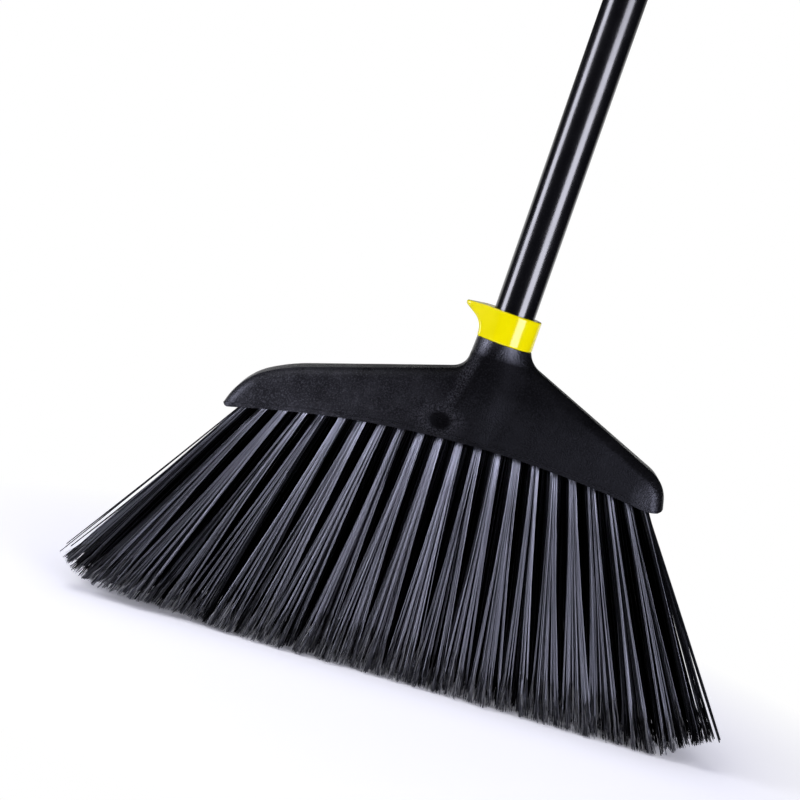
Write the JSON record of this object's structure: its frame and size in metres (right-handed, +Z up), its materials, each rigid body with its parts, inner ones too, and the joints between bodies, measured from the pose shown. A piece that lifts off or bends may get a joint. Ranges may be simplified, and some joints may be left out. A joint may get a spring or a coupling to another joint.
{
  "type": "angle broom",
  "caption": "Upright angle broom: moulded head with a fanned bristle skirt trimmed level, a spurred twist-lock collar on a slotted collet, and a coated tube handle that pulls out.",
  "frame": {"origin": "floor level under the middle of the bristle fan", "axes": "+Z up, +X to the broom's right seen from the front, +Y from the front towards the back"},
  "size_m": [0.4122, 0.0824, 1.3826],
  "materials": {
    "head_plastic": "fine-grained black moulding",
    "block_plastic": "plain black moulding",
    "bristle": "dull black filament with split tips",
    "collar_yellow": "glossy yellow moulding",
    "coat_black": "glossy black vinyl coat",
    "tube_steel": "plain drawn steel tube",
    "cap_plastic": "satin black moulding"
  },
  "bodies": {
    "head": {"head_shell": "head_plastic", "bristle_block": "block_plastic", "bristle_row_1": "bristle", "bristle_row_2": "bristle", "bristle_row_3": "bristle", "bristle_row_4": "bristle"},
    "collar": {"lock_collar": "collar_yellow"},
    "handle": {"handle_coat": "coat_black", "handle_tube": "tube_steel", "end_plug": "cap_plastic", "hanger_cap": "cap_plastic"}
  },
  "joints": [
    {"name": "collar_turn", "type": "hinge", "parent": "head", "child": "collar", "pos_m": [0.019, 0, 0.21117], "axis": [0.0558, 0, 0.9984], "range_deg": [0, 90]},
    {"name": "handle_release", "type": "slide", "parent": "head", "child": "handle", "axis": [0.0558, 0, 0.9984], "range_m": [0, 0.074]}
  ]
}
